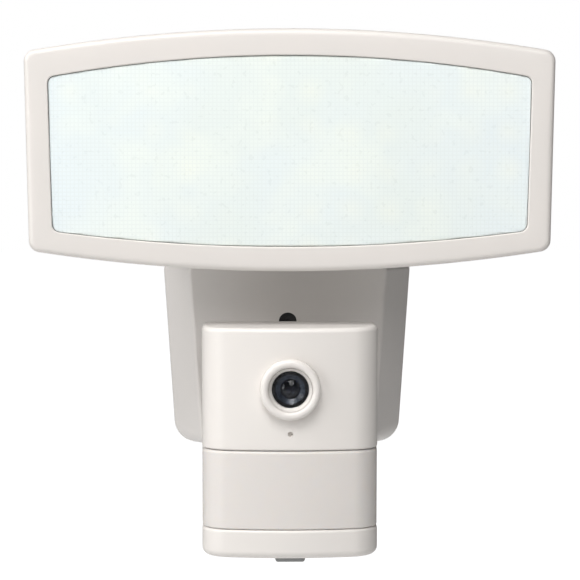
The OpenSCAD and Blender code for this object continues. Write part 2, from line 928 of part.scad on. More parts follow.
module speaker() {
    color("black") union() {
        rod_y(13, -86, cam_back - cam_wall - 0.1, 0, pir_z);
        rod_y(8, -91, -85.9, 0, pir_z);
    }
}

module card_socket() {
    socket_top = -75;
    color("silver") difference() {
        union() {
            block([card_x - card_w / 2 - 1, port_y - 1.4, well_floor_z + 1.6],
                [card_x + card_w / 2 + 1, port_y + 1.4, socket_top]);
            block([-12, port_y + 1.4, well_floor_z + 1.6], [12, port_y + 2.8, socket_top]);
        }
        block([card_x - card_w / 2 - 0.1, port_y - 0.45, well_floor_z],
            [card_x + card_w / 2 + 0.1, port_y + 0.45, socket_top - 0.4]);
    }
}

module memory_card() {
    color("black") difference() {
        block([card_x - card_w / 2, port_y - 0.35, well_floor_z - 0.8],
            [card_x + card_w / 2, port_y + 0.35, well_floor_z + 13.4]);
        translate([card_x + card_w / 2, port_y, well_floor_z + 13.4])
            rotate([0, 45, 0]) cube([2.4, 2, 2.4], center = true);
    }
}

module reset_button() {
    color("gray") translate([button_x, port_y, well_floor_z - 0.8])
        cylinder(h = 6.8, r = button_r);
}

module reset_switch() {
    color("black") block([button_x - 2.2, port_y - 2.2, well_floor_z + 6.6],
        [button_x + 2.2, port_y + 1.3, well_floor_z + 10]);
}

module tilt_pin() {
    color("silver") rod_x(pin_r, -pocket_half - lug_t, pocket_half + lug_t,
        -tilt_axis_d, cam_axis_z);
}

module camera_screws() {
    color("silver") {
        for (p = shell_bosses)
            screw_y(p[0], p[1], rear_head_y, 26, 1.15, 2.6, 1);
        for (s = [-1, 1]) translate([s * cap_screw_x, cap_screw_y, cam_bottom_z + 0.2]) {
            cylinder(h = 1.1, r = 2.6);
            cylinder(h = 7, r = 1.2);
        }
    }
}

module service_cover() {
    color("gray") union() {
        block([-10.3, -116.4, cam_bottom_z], [10.3, cover_hinge_y - 0.1, cam_bottom_z + 1.4]);
        block([-8.4, -115.1, cam_bottom_z + 1], [8.4, -102.2, cam_bottom_z + 2.8]);
        hull() {
            block([-8, -116, cam_bottom_z], [8, -105, cam_bottom_z + 0.2]);
            block([-7.2, -115.2, cam_bottom_z - 2.6], [7.2, -106, cam_bottom_z - 2.4]);
        }
    }
}

// ---------- nodes ----------

wall_plate();
wall_gasket();
base_back_cover();
base_shell();
base_screws();
fixing_screw();
fixing_screw_plug();
cable_grommet();
terminal_block();
supply_wires();
driver_board();
driver_transformer();
driver_capacitors();
neck();
neck_screws();
camera_bracket();
camera_bracket_screws();
pan_pin();
head_bezel();
head_lens();
head_seal();
head_reflector();
led_emitters();
led_board();
thermal_pad();
head_housing();
head_screws();
hinge_bracket();
hinge_bracket_screws();
tilt_bolt();
tilt_nut();
friction_washers();
swivel_knuckle();
camera_front_shell();
camera_rear_shell();
pir_lens();
bottom_cap();
lens_ring();
lens_inner_ring();
lens_window();
lens_barrel();
lens_element();
lens_mount();
image_sensor();
sensor_board();
main_board();
processor_shield();
antenna();
microphone();
pir_sensor();
pir_board();
photocell();
speaker();
card_socket();
reset_switch();
tilt_pin();
camera_screws();
memory_card();
reset_button();
service_cover();
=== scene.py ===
"""Looks of the floodlight security camera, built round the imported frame.

Lengths are in millimetres, and the meshes turn them into metres.
"""

import json
import math

import bpy
import numpy as np
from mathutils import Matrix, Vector


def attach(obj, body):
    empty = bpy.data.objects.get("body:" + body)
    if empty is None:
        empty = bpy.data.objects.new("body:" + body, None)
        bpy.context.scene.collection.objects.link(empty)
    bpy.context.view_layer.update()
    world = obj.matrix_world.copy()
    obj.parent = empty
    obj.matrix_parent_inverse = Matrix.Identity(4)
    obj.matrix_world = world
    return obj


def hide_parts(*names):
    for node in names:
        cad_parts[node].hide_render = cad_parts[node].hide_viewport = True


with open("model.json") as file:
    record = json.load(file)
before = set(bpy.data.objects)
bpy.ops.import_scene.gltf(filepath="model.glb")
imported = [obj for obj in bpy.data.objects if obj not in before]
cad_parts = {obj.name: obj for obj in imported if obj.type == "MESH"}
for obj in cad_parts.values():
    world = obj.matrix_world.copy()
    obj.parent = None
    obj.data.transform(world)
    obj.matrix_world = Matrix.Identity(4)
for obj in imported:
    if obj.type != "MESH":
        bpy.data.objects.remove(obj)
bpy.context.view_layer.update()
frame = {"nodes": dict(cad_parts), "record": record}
nodes = frame["nodes"]

MM = 0.001
PINHOLE = 0.02  # radius where a lathed profile meets its axis

# Light head
HEAD_TOP = (134.0, 163.0, 11.5)  # half width, height and crown of an edge
HEAD_BOTTOM = (132.0, 62.5, 10.5)
HEAD_CORNER = 6.0
WINDOW_TOP = (122.0, 150.0, 11.0)
WINDOW_BOTTOM = (120.0, 72.4, 7.9)
WINDOW_CORNER = 4.0
HEAD_FRONT, BEZEL_BACK = -118.0, -103.0
PANE_FRONT, LENS_FRONT, LENS_BACK = -117.08, -115.46, -112.7
HOUSING_FRONT, FLANGE_BACK, FLOOR_FRONT, FLOOR_BACK, FIN_BACK = -102.9, -100.9, -94.8, -92.0, -77.0
FLANGE_IN, STEP_IN, HOUSING_WALL = 1.2, 9.0, 2.6
FIN_PITCH, FIN_FIRST, FINS_EACH_SIDE = 10.6, 28.0, 9
FIN_ROOT, FIN_TIP = 0.9, 0.72  # half thickness at the floor and at the edge
FIN_SUNK = 0.5  # depth in the floor
SHORT_FINS = (-16.5, -5.5, 5.5, 16.5)  # above the hinge's pad
PAD_HALF, PAD_RISE, PAD_BACK = 22.0, 16.0, -89.5
AXIS_Z = 87.0  # height of the head's tilt axis
PILLOW, PILLOW_RELIEF = 2.05, 0.07  # pitch and depth of the lens pattern
PANEL_MID_Z = (WINDOW_TOP[1] + WINDOW_TOP[2] + WINDOW_BOTTOM[1] - WINDOW_BOTTOM[2]) / 2
EMITTER_PITCH, EMITTER_Z = (20.18, 20.0), 103.25

# Base
BASE_CIRCLES = ((62.75, 46.5, 4), (49.25, -35.5, 12), (-49.25, -35.5, 12), (-62.75, 46.5, 4))  # x, z, radius
PANEL_CIRCLES = ((49.5, 47.5, 3), (39.5, -38.5, 7), (-39.5, -38.5, 7), (-49.5, 47.5, 3))
BASE_BACK, SHOULDER, BASE_FRONT = -2.0, -24.0, -50.0
WALL = 2.5
FIXING_Z, FIXING_R = 20.5, 4.8
TUBE_WALL, SCREW_R, SEAT_FRONT, SEAT_BACK = 1.8, 2.8, -36.4, -34.0
PLUG_FRONT, PLUG_DISH, PLUG_BACK = -48.0, 0.8, -41.0

# Camera unit
CAM_HALF, CAM_TOP, CAM_BOTTOM = 45.0, 23.5, -94.5
SEAM_Z, CAP_Z = -38.8, -79.5
CAM_FRONT, CAM_SPLIT, CAM_BACK = -122.0, -98.0, -80.0
FRONT_R, REAR_R = 15.5, 8.0
CORNER_X, CORNER_Y = 29.5, -103.5
CAM_WALL, WINDOW_WALL = 2.2, 1.2
PART_GAP = 0.1
SCREW_HEAD_R = 2.9
OPTIC_Z, MIC_Z, PIR_Z = -7.5, -30.3, -60.0
MIC_R, MIC_DEPTH = 1.3, 1.8
RING_R, RING_FRONT, RING_CREST = 15.4, -126.6, 2.15
RECESS_R, RECESS_BACK = 15.45, -120.9
BORE_R = 11.05
POCKET = (-9.5, -96.4, -34.2), (9.5, CAM_BACK - 1, -5.8)  # opposite corners of the box round the tilt tongue
TONGUE_SLOT = (-5.3, -94.2, -32), (5.3, CAM_BACK + 5, -8)
COVER_X, COVER_FRONT, COVER_BACK = 10.3, -116.4, -100.6
PLUG_X, CARD_PLUG_FRONT, CARD_PLUG_BACK = 8.4, -115.1, -102.2
COVER_T, COVER_GAP, HINGE_GAP = 1.4, 0.3, 0.4
TAB_Y = -110.5

# Camera and lights, in metres and degrees
TARGET = (0.0004, -0.09, 0.0405)
VIEW_AZIMUTH, VIEW_ELEVATION, VIEW_DISTANCE = -1.1, 4.5, 1.3
LIGHT_DISTANCE = 1.6
FLOOR_Z = -450.0


# ---------- outlines: points and outward normals ----------

def arc(centre, radius, start, end, steps):
    """An arc's points and normals; start and end in degrees, both included."""
    a = np.radians(np.linspace(start, end, steps + 1))
    n = np.stack([np.cos(a), np.sin(a)], 1)
    return np.array(centre, float) + radius * n, n


def turn(start, end):
    """End angle moved by whole turns so that the way from start is clockwise and under a turn."""
    while end > start:
        end -= 360
    while end <= start - 360:
        end += 360
    return end


def angle(n):
    return math.degrees(math.atan2(n[1], n[0]))


def straight(a, b, normal, steps):
    t = np.linspace(0, 1, steps + 1)[:, None]
    return np.array(a) * (1 - t) + np.array(b) * t, np.tile(normal, (steps + 1, 1))


def chained(parts):
    """Joins stretches that each start where the last one ends."""
    points = np.concatenate([parts[0][0]] + [p[1:] for p, _ in parts[1:]])
    normals = np.concatenate([parts[0][1]] + [n[1:] for _, n in parts[1:]])
    return points, normals


def crown_edge(x, edge, up):
    half, z, rise = edge
    n = np.array([2 * rise * x / half ** 2, up], float)
    return np.array([x, z + up * rise * (1 - (x / half) ** 2)]), n / np.linalg.norm(n)


def crowned_outline(top, bottom, r, along=24, corner=9, side=14):
    """A closed outline with crowned top and bottom edges, straight leaning sides and round corners."""
    t, b = np.array(top[:2]), np.array(bottom[:2])
    d = (b - t) / np.linalg.norm(b - t)
    out = np.array([-d[1], d[0]])
    ends = []
    for edge, up in ((top, 1), (bottom, -1)):
        low, high = 0.0, edge[0]
        for _ in range(40):
            x = (low + high) / 2
            p, n = crown_edge(x, edge, up)
            if (p - r * n - t) @ out < -r:
                low = x
            else:
                high = x
        ends.append((x, n, p - r * n))
    (xt, nt, ct), (xb, nb, cb) = ends
    rows = [crown_edge(x, top, 1) for x in np.linspace(0, xt, along + 1)]
    upper = np.array([p for p, _ in rows]), np.array([n for _, n in rows])
    rows = [crown_edge(x, bottom, -1) for x in np.linspace(xb, 0, along + 1)]
    lower = np.array([p for p, _ in rows]), np.array([n for _, n in rows])
    points, normals = chained([
        upper,
        arc(ct, r, angle(nt), angle(out), corner),
        straight(ct + r * out, cb + r * out, out, side),
        arc(cb, r, angle(out), angle(nb), corner),
        lower])
    flip = np.array([-1, 1])
    return (np.concatenate([points, (points * flip)[-2:0:-1]]),
            np.concatenate([normals, (normals * flip)[-2:0:-1]]))


def circles_outline(circles, corner=9, side=14):
    """A closed outline drawn tight round circles (x, z, r), given clockwise."""
    tangents = []
    for (x0, z0, r0), (x1, z1, r1) in zip(circles, circles[1:] + circles[:1]):
        d = np.array([x1 - x0, z1 - z0], float)
        length = np.linalg.norm(d)
        d /= length
        s = (r0 - r1) / length
        tangents.append(math.sqrt(1 - s * s) * np.array([-d[1], d[0]]) + s * d)
    parts = []
    for i, (x, z, r) in enumerate(circles):
        before, after = angle(tangents[i - 1]), angle(tangents[i])
        parts.append(arc((x, z), r, before, turn(before, after), corner))
        x1, z1, r1 = circles[(i + 1) % len(circles)]
        n = tangents[i]
        parts.append(straight(np.array([x, z]) + r * n, np.array([x1, z1]) + r1 * n, n, side))
    points, normals = chained(parts)
    return points[:-1], normals[:-1]


def camera_front_path():
    """The camera unit's front half from above, from the left split line round to the right one."""
    side, corner, front = 4, 16, 36
    half_chord = CORNER_Y - CAM_FRONT
    big = (CORNER_X ** 2 + half_chord ** 2 - FRONT_R ** 2) / (2 * (half_chord - FRONT_R))
    lean = math.degrees(math.atan2(CORNER_X, big - half_chord))
    return chained([
        straight((-CAM_HALF, CAM_SPLIT), (-CAM_HALF, CORNER_Y), (-1, 0), side),
        arc((-CORNER_X, CORNER_Y), FRONT_R, 180, 270 - lean, corner),
        arc((0, CAM_FRONT + big), big, 270 - lean, 270 + lean, front),
        arc((CORNER_X, CORNER_Y), FRONT_R, 270 + lean, 360, corner),
        straight((CAM_HALF, CORNER_Y), (CAM_HALF, CAM_SPLIT), (1, 0), side)])


def camera_rear_path(split):
    """The rear half, from the right split line round the back to the left one."""
    side, corner, back = 3, 10, 16
    x, y = CAM_HALF - REAR_R, CAM_BACK - REAR_R
    return chained([
        straight((CAM_HALF, split), (CAM_HALF, y), (1, 0), side),
        arc((x, y), REAR_R, 0, 90, corner),
        straight((x, CAM_BACK), (-x, CAM_BACK), (0, 1), back),
        arc((-x, y), REAR_R, 90, 180, corner),
        straight((-CAM_HALF, y), (-CAM_HALF, split), (-1, 0), side)])


def facing(outline, y, inset=0.0):
    """An X-Z outline moved in by inset, at depth y."""
    points, normals = outline
    p = points - inset * normals
    return np.stack([p[:, 0], np.full(len(p), y), p[:, 1]], 1)


def level(path, z, inset=0.0):
    """An X-Y path moved in by inset, at height z."""
    points, normals = path
    p = points - inset * normals
    return np.stack([p[:, 0], p[:, 1], np.full(len(p), z)], 1)


def bend(start, corner, end, steps):
    """A curve from start to end that leans towards the corner between them."""
    return [(1 - s) ** 2 * start + 2 * s * (1 - s) * corner + s ** 2 * end
            for s in np.linspace(0, 1, steps + 1)]


def softened(rings, lengths, steps):
    """Rounds the corner at each ring along the loft; a length of 0 leaves it as it is."""
    made = []
    for i, (ring, length) in enumerate(zip(rings, lengths)):
        if not length or i in (0, len(rings) - 1):
            made.append(ring)
            continue
        ends = []
        for other in (rings[i - 1], rings[i + 1]):
            d = other - ring
            far = np.linalg.norm(d, axis=1, keepdims=True)
            ends.append(ring + d * np.minimum(length, 0.49 * far) / np.maximum(far, 1e-6))
        made += bend(ends[0], ring, ends[1], steps)
    return made


# ---------- meshes ----------

def raw_object(name, points, faces):
    """A mesh object from points in mm, its faces turned outwards."""
    mesh = bpy.data.meshes.new(name)
    mesh.from_pydata((np.asarray(points, float) * MM).tolist(), [], faces)
    mesh.update()
    middle = sum((f.center for f in mesh.polygons), Vector()) / len(mesh.polygons)
    if sum((f.center - middle).dot(f.normal) * f.area for f in mesh.polygons) < 0:
        mesh.flip_normals()
    obj = bpy.data.objects.new(name, mesh)
    bpy.context.scene.collection.objects.link(obj)
    return obj


def loft(name, rings, closed=True, wrap=False, caps=""):
    """Quads between rings of as many points each.

    wrap joins the last ring to the first; caps is "both", or "last" for a face on the last ring alone.
    """
    n = len(rings[0])
    faces = []
    pairs = [(i, i + 1) for i in range(len(rings) - 1)] + ([(len(rings) - 1, 0)] if wrap else [])
    for i, k in pairs:
        for j in range(n if closed else n - 1):
            m = (j + 1) % n
            faces.append((i * n + j, i * n + m, k * n + m, k * n + j))
    if caps == "both":
        faces.append(tuple(range(n))[::-1])
    if caps:
        faces.append(tuple((len(rings) - 1) * n + j for j in range(n)))
    return raw_object(name, np.concatenate(rings), faces)


def lathe(name, profile, centre_z=OPTIC_Z, wrap=True, segments=128, x=0.0):
    """A profile of (radius, y) turned round an axis along Y."""
    a = np.linspace(0, 2 * math.pi, segments, endpoint=False)
    rings = [np.stack([x + r * np.cos(a), np.full(segments, y), centre_z + r * np.sin(a)], 1)
             for r, y in profile]
    return loft(name, rings, wrap=wrap, caps="" if wrap else "both")


def rounded(profile, radius, steps, closed=True):
    """Rounds each corner of a 2-D profile; an open one keeps its two ends."""
    made = []
    count = len(profile)
    for i in range(count):
        p = np.array(profile[i], float)
        if not closed and i in (0, count - 1):
            made.append(p)
            continue
        ends = []
        for other in (profile[i - 1], profile[(i + 1) % count]):
            d = np.array(other, float) - p
            far = np.linalg.norm(d)
            ends.append(p + d * min(radius, 0.49 * far) / far)
        made += bend(ends[0], p, ends[1], steps)
    return made


def block(name, low, high):
    """A box by its corners; its edges are bevelled or cut with later."""
    (x0, y0, z0), (x1, y1, z1) = low, high
    points = [(x, y, z) for x in (x0, x1) for y in (y0, y1) for z in (z0, z1)]
    faces = [(0, 1, 3, 2), (4, 6, 7, 5), (0, 4, 5, 1), (2, 3, 7, 6), (0, 2, 6, 4), (1, 5, 7, 3)]
    return raw_object(name, points, faces)


def rod_y(r, y0, y1, x, z, segments=64):
    """A cutter along Y."""
    return lathe("cutter", [(r, y0), (r, y1)], z, wrap=False, segments=segments, x=x)


def rod_z(r, z0, z1, x, y, segments=48):
    """A cutter along Z."""
    a = np.linspace(0, 2 * math.pi, segments, endpoint=False)
    rings = [np.stack([x + r * np.cos(a), y + r * np.sin(a), np.full(segments, z)], 1) for z in (z0, z1)]
    return loft("cutter", rings, caps="both")


def joined(first, others):
    """The other meshes put into the first object's mesh."""
    meshes = [first.data] + [o.data for o in others]
    points, faces = [], []
    for mesh in meshes:
        start = len(points)
        points += [tuple(v.co) for v in mesh.vertices]
        faces += [tuple(start + i for i in f.vertices) for f in mesh.polygons]
    mesh = bpy.data.meshes.new(first.name)
    mesh.from_pydata(points, [], faces)
    first.data = mesh
    for o in others:
        bpy.data.objects.remove(o)
    return first


def applied(obj):
    """Puts what the modifiers make into the object's own mesh."""
    bpy.context.view_layer.update()
    made = bpy.data.meshes.new_from_object(obj.evaluated_get(bpy.context.evaluated_depsgraph_get()))
    obj.modifiers.clear()
    obj.data = made
    return obj


def thickened(obj, thickness):
    """Gives an open surface a wall on its inner side."""
    m = obj.modifiers.new("wall", "SOLIDIFY")
    m.thickness, m.offset, m.use_even_offset = thickness * MM, -1, True
    return applied(obj)


def edges_eased(obj, width, segments=2, angle_deg=38, keep=False):
    """Bevels the edges sharper than an angle; keep leaves the modifier on the object."""
    m = obj.modifiers.new("edges", "BEVEL")
    m.width, m.segments = width * MM, segments
    m.limit_method, m.angle_limit = "ANGLE", math.radians(angle_deg)
    m.use_clamp_overlap, m.miter_outer = True, "MITER_ARC"
    return obj if keep else applied(obj)


def cut(obj, cutters):
    """Takes the cutters away from the object, and deletes them."""
    for c in cutters:
        m = obj.modifiers.new("cut", "BOOLEAN")
        m.operation, m.solver, m.object = "DIFFERENCE", "EXACT", c
    applied(obj)
    for c in cutters:
        bpy.data.objects.remove(c)
    return obj


def piece(obj, body, slot, stands_for, sharp=40):
    """Shades a finished mesh, gives it its slot's finish and lets it stand for its CAD node."""
    mesh = obj.data
    mesh.materials.clear()
    mesh.materials.append(FINISHES[slot])
    mesh.shade_smooth()
    mesh.set_sharp_from_angle(angle=math.radians(sharp))
    m = obj.modifiers.new("normals", "WEIGHTED_NORMAL")
    m.keep_sharp = True
    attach(obj, body)
    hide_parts(stands_for)


# ---------- materials ----------

class Finish:
    """A node material with a Principled shader, built on the object's own coordinates in metres."""

    def __init__(self, name, colour, roughness, metallic=0.0, ior=1.5):
        self.material = bpy.data.materials.new(name)
        self.material.use_nodes = True
        self.tree = self.material.node_tree
        self.shader = self.tree.nodes["Principled BSDF"]
        self.place = self.tree.nodes.new("ShaderNodeTexCoord").outputs["Object"]
        self.shader.inputs["Base Color"].default_value = (*colour, 1)
        self.shader.inputs["Roughness"].default_value = roughness
        self.shader.inputs["Metallic"].default_value = metallic
        self.shader.inputs["IOR"].default_value = ior
        self.colour, self.roughness = colour, roughness

    def link(self, output, node, socket):
        self.tree.links.new(output, node.inputs[socket])

    def stretched(self, scale):
        node = self.tree.nodes.new("ShaderNodeMapping")
        node.inputs["Scale"].default_value = scale
        self.link(self.place, node, "Vector")
        return node.outputs["Vector"]

    def noise(self, size, detail=2.0, rough=0.5, along=None):
        """Noise with features of about size mm."""
        node = self.tree.nodes.new("ShaderNodeTexNoise")
        node.inputs["Scale"].default_value = 1000 / size
        node.inputs["Detail"].default_value = detail
        node.inputs["Roughness"].default_value = rough
        self.link(along or self.place, node, "Vector")
        return node.outputs["Fac"]

    def spots(self, size):
        node = self.tree.nodes.new("ShaderNodeTexVoronoi")
        node.inputs["Scale"].default_value = 1000 / size
        self.link(self.place, node, "Vector")
        return node.outputs["Distance"]

    def spread(self, value, low, high, start=0.3, end=0.7):
        """Low to high where the value goes from start to end."""
        node = self.tree.nodes.new("ShaderNodeMapRange")
        for socket, number in zip(("From Min", "From Max", "To Min", "To Max"), (start, end, low, high)):
            node.inputs[socket].default_value = number
        self.link(value, node, "Value")
        return node.outputs["Result"]

    def math(self, kind, a, b=None):
        node = self.tree.nodes.new("ShaderNodeMath")
        node.operation = kind
        for i, v in enumerate((a, b)):
            if isinstance(v, (int, float)):
                node.inputs[i].default_value = v
            elif v is not None:
                self.link(v, node, i)
        return node.outputs["Value"]

    def axis(self, name):
        node = self.tree.nodes.new("ShaderNodeSeparateXYZ")
        self.link(self.place, node, "Vector")
        return node.outputs[name]

    def tint(self, fac, colour, amount=1.0, under=None):
        """Mixes a colour over the colour so far, where fac is 1, times amount."""
        node = self.tree.nodes.new("ShaderNodeMix")
        node.data_type = "RGBA"
        self.link(self.math("MULTIPLY", fac, amount), node, "Factor")
        if under is None:
            node.inputs["A"].default_value = (*self.colour, 1)
        else:
            self.tree.links.new(under, node.inputs[6])
        node.inputs[7].default_value = (*colour, 1)
        self.link(node.outputs[2], self.shader, "Base Color")
        return node.outputs[2]

    def rough(self, value, spread_by):
        varied = self.spread(value, self.roughness - spread_by, self.roughness + spread_by)
        self.link(varied, self.shader, "Roughness")

    def bump(self, height, depth, strength, over=None):
        """Bump of a depth in mm, over an earlier one."""
        node = self.tree.nodes.new("ShaderNodeBump")
        node.inputs["Distance"].default_value = depth * MM
        node.inputs["Strength"].default_value = strength
        self.link(height, node, "Height")
        if over is not None:
            self.link(over, node, "Normal")
        self.link(node.outputs["Normal"], self.shader, "Normal")
        return node.outputs["Normal"]


def moulded(name, colour, roughness, shade, grain=0.35, depth=0.006, sss=0.0):
    """Satin moulded plastic: fine spark texture, faint flow clouds in the colour and gloss."""
    f = Finish(name, colour, roughness, ior=1.47)
    clouds = f.noise(26, 3, 0.55)
    fine = f.noise(grain, 3, 0.6)
    f.tint(f.spread(clouds, 0, 1), shade, 0.5)
    f.rough(f.noise(5, 3, 0.6), 0.05)
    ripple = f.bump(f.noise(9, 1, 0.4), 0.02, 0.5)
    f.bump(fine, depth, 0.8, over=ripple)
    if sss:
        f.shader.inputs["Subsurface Weight"].default_value = sss
        f.shader.inputs["Subsurface Radius"].default_value = (1, 0.8, 0.6)
        f.shader.inputs["Subsurface Scale"].default_value = 0.0012
    return f.material


def metal(name, colour, roughness, shade, streak=(1, 1, 1), grain=0.8):
    """Bare metal with clouded tone, uneven gloss and a fine grain, which streak can draw out."""
    f = Finish(name, colour, roughness, metallic=1.0)
    along = f.stretched(streak)
    f.tint(f.spread(f.noise(6, 4, 0.6), 0, 1), shade, 0.6)
    f.rough(f.noise(2.2, 3, 0.6, along), 0.08)
    f.bump(f.noise(grain, 3, 0.6, along), 0.004, 0.8)
    return f.material


def coated(name, colour, roughness, shade):
    """Powder-coated die casting: orange-peel skin over a slightly rough casting."""
    f = Finish(name, colour, roughness, ior=1.5)
    f.tint(f.spread(f.noise(18, 4, 0.6), 0, 1), shade, 0.6)
    f.rough(f.noise(3, 3, 0.6), 0.06)
    peel = f.bump(f.noise(1.1, 2, 0.5), 0.03, 0.7)
    f.bump(f.spots(0.45), 0.008, 0.5, over=peel)
    return f.material


def rubber(name, colour, roughness, shade):
    """Matt rubber, foam or fibre with a dusty tone and a very fine grain."""
    f = Finish(name, colour, roughness, ior=1.48)
    f.tint(f.spread(f.noise(4, 4, 0.6), 0, 1), shade, 0.6)
    f.rough(f.noise(1.5, 3, 0.6), 0.07)
    f.bump(f.noise(0.25, 3, 0.7), 0.01, 0.8)
    return f.material


def board(name, mask, copper):
    """Circuit board: solder mask with tracks and pads showing through."""
    f = Finish(name, mask, 0.32, ior=1.55)
    columns = f.math("MULTIPLY", f.math("PINGPONG", f.axis("X"), 0.0011), 900)
    rows = f.math("MULTIPLY", f.math("PINGPONG", f.axis("Z"), 0.0014), 700)
    tracks = f.math("GREATER_THAN", f.math("MULTIPLY", columns, rows), 0.55)
    under = f.tint(tracks, copper, 0.45)
    f.tint(f.spread(f.noise(7, 3), 0, 1), tuple(0.6 * c for c in mask), 0.4, under=under)
    f.rough(f.noise(2, 2), 0.05)
    f.bump(tracks, 0.03, 0.6)
    return f.material


def led_panel(name):
    """Milky lens with a square pattern; warm spots of painted glow stand where the light emitters sit behind
    it, and its grooves get painted shade.
    """
    f = Finish(name, (0.81, 0.868, 0.834), 0.3, ior=1.49)

    def nearest(axis, pitch, middle):
        """Distance from the nearest of a row of places, one of them at middle."""
        along = f.math("ADD", f.axis(axis), (pitch * 20 - middle) * MM)
        return f.math("PINGPONG", along, pitch / 2 * MM)

    dx = nearest("X", EMITTER_PITCH[0], EMITTER_PITCH[0] / 2)
    dz = nearest("Z", EMITTER_PITCH[1], EMITTER_Z)
    far = f.math("SQRT", f.math("ADD", f.math("MULTIPLY", dx, dx), f.math("MULTIPLY", dz, dz)))
    # Warm, lighter spots over the emitters' places: a painted glow standing in for their light through the
    # pane
    painted_glow = f.spread(far, 1, 0, 0.0, 0.009)
    patch = f.spread(f.noise(46, 2, 0.5), 0.0, 1.0, 0.42, 0.6)
    groove = f.math("MINIMUM", nearest("X", PILLOW, 0), nearest("Z", PILLOW, PANEL_MID_Z))
    # Darker lines along the pillows' grooves: painted shade in the grooves, over the pane's real shallow
    # relief
    painted_groove_shade = f.spread(groove, 1, 0, 0.0, 0.00045)
    ends = f.spread(f.math("ABSOLUTE", f.axis("X")), 0, 1, 0.09, 0.124)
    under = f.tint(f.spread(f.noise(60, 1, 0.4), 0, 1, 0.4, 0.62), (0.82, 0.885, 0.905), 0.5)
    under = f.tint(f.spread(f.noise(34, 2, 0.5), 0, 1, 0.48, 0.66), (0.885, 0.93, 0.86), 0.6, under=under)
    under = f.tint(ends, (0.80, 0.875, 0.925), 0.55, under=under)
    under = f.tint(f.math("MULTIPLY", painted_glow, patch), (0.96, 0.96, 0.82), 0.3, under=under)
    f.tint(painted_groove_shade, (0.70, 0.75, 0.73), 0.35, under=under)
    f.rough(f.noise(3, 2), 0.04)
    return f.material


def blackened(name):
    """Blackened lens barrel with fine turned grooves and a bluish ring round the optical axis, a painted
    reflection on its cone.
    """
    f = Finish(name, (0.006, 0.006, 0.008), 0.3)
    up = f.math("SUBTRACT", f.axis("Z"), OPTIC_Z * MM)
    across = f.axis("X")
    radius = f.math("SQRT", f.math("ADD", f.math("MULTIPLY", across, across), f.math("MULTIPLY", up, up)))
    # Bluish ring between these radii: a painted reflection on the barrel's cone
    ring = f.math("MULTIPLY", f.spread(radius, 0, 1, 0.0046, 0.0054), f.spread(radius, 1, 0, 0.0072, 0.008))
    f.tint(ring, (0.045, 0.06, 0.09), 1.0)
    f.rough(f.noise(2, 2), 0.08)
    f.bump(f.math("PINGPONG", radius, 0.00015), 0.03, 0.6)
    return f.material


def clear(name, colour, roughness, ior):
    """Clear glass with slightly uneven polish."""
    f = Finish(name, colour, roughness, ior=ior)
    f.shader.inputs["Transmission Weight"].default_value = 1.0
    f.rough(f.noise(4, 3), roughness * 0.5)
    return f.material


FINISHES = {
    "head_plastic": moulded("satin_white", (0.752, 0.71, 0.672), 0.38, (0.724, 0.691, 0.658)),
    "base_plastic": moulded("base_white", (0.755, 0.72, 0.688), 0.42, (0.73, 0.702, 0.674)),
    "camera_plastic": moulded("camera_white", (0.80, 0.76, 0.72), 0.36, (0.775, 0.74, 0.705)),
    "sensor_window": moulded("milky_window", (0.74, 0.70, 0.665), 0.42, (0.715, 0.68, 0.65),
                             depth=0.004, sss=0.25),
    "prismatic_lens": led_panel("patterned_lens"),
    "cast_housing": coated("powder_coat", (0.76, 0.745, 0.72), 0.48, (0.72, 0.71, 0.69)),
    "hinge_casting": coated("hinge_coat", (0.74, 0.73, 0.71), 0.5, (0.70, 0.69, 0.675)),
    "steel": metal("zinc_steel", (0.62, 0.61, 0.58), 0.34, (0.5, 0.5, 0.5), grain=0.5),
    "galvanised_plate": metal("galvanised", (0.58, 0.59, 0.60), 0.42, (0.42, 0.43, 0.45), grain=1.6),
    "rubber_black": rubber("black_rubber", (0.022, 0.022, 0.024), 0.6, (0.035, 0.035, 0.036)),
    "rubber_grey": rubber("grey_rubber", (0.30, 0.30, 0.295), 0.62, (0.25, 0.25, 0.25)),
    "gasket": rubber("foam_gasket", (0.05, 0.05, 0.052), 0.85, (0.075, 0.075, 0.075)),
    "friction_pad": rubber("friction_fibre", (0.07, 0.06, 0.05), 0.8, (0.12, 0.10, 0.08)),
    "reflector": moulded("reflector_white", (0.88, 0.88, 0.87), 0.5, (0.84, 0.84, 0.83)),
    "led": moulded("phosphor", (0.85, 0.70, 0.18), 0.5, (0.80, 0.62, 0.12)),
    "led_circuit": board("white_board", (0.80, 0.80, 0.78), (0.70, 0.68, 0.60)),
    "thermal": rubber("thermal_pad", (0.35, 0.42, 0.50), 0.8, (0.30, 0.37, 0.45)),
    "circuit_board": board("green_board", (0.012, 0.085, 0.035), (0.10, 0.30, 0.10)),
    "component_black": moulded("moulded_black", (0.02, 0.02, 0.022), 0.45, (0.03, 0.03, 0.03)),
    "can_metal": metal("tinned_can", (0.66, 0.65, 0.62), 0.28, (0.56, 0.55, 0.53), streak=(1, 1, 8)),
    "winding": moulded("tape_yellow", (0.62, 0.42, 0.05), 0.5, (0.55, 0.36, 0.04)),
    "capacitor": moulded("capacitor_sleeve", (0.02, 0.03, 0.07), 0.35, (0.03, 0.045, 0.09)),
    "terminal": moulded("terminal_nylon", (0.60, 0.56, 0.46), 0.5, (0.56, 0.52, 0.43)),
    "wire": moulded("wire_sleeve", (0.18, 0.18, 0.18), 0.45, (0.15, 0.15, 0.15)),
    "ceramic_chip": moulded("ceramic", (0.62, 0.58, 0.48), 0.4, (0.57, 0.53, 0.44)),
    "glass_clear": clear("window_glass", (1, 1, 1), 0.02, 1.46),
    "lens_glass": moulded("coated_glass", (0.006, 0.008, 0.014), 0.06, (0.01, 0.014, 0.03), depth=0.0002),
    "lens_black": blackened("anodised_black"),
    "silicon": metal("silicon", (0.18, 0.17, 0.22), 0.2, (0.12, 0.12, 0.2), grain=0.2),
    "card_plastic": moulded("card_black", (0.02, 0.02, 0.02), 0.4, (0.03, 0.03, 0.03)),
}

